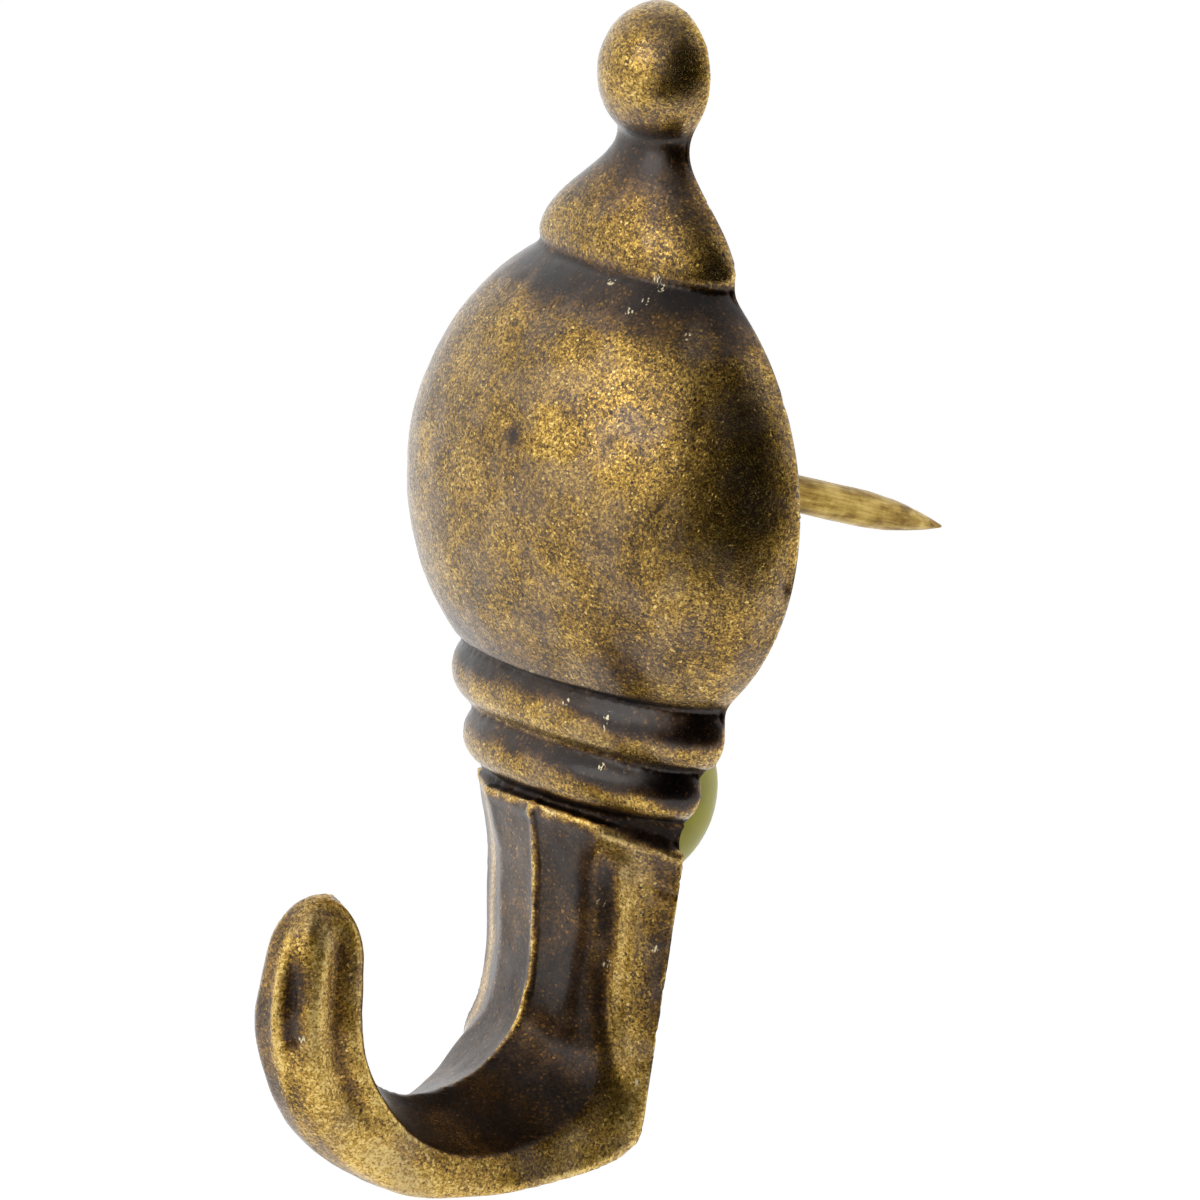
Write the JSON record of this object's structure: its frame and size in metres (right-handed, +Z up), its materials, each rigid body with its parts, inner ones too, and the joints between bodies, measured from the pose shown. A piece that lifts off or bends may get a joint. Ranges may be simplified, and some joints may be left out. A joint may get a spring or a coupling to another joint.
{
  "type": "picture hook",
  "caption": "Ornamental push-in picture hook: flat-backed cast brass body ending in an upturned J, with a slanting wall nail and a soft bumper on its back.",
  "frame": {"origin": "where the nail's axis leaves the flat back of the casting", "axes": "+X to the right seen from the front, +Y into the wall, square to the flat back, +Z up along the hook"},
  "size_m": [0.0224, 0.0367, 0.051],
  "materials": {
    "aged_brass": "antique brass, rubbed bright on raised parts and dark in the grooves",
    "nail_brass": "satin brass plate with fine drawing lines",
    "soft_bumper": "translucent soft plastic, smooth"
  },
  "bodies": {
    "root": {"hook_body": "aged_brass", "nail_pin": "nail_brass", "wall_bumper": "soft_bumper"}
  },
  "joints": []
}
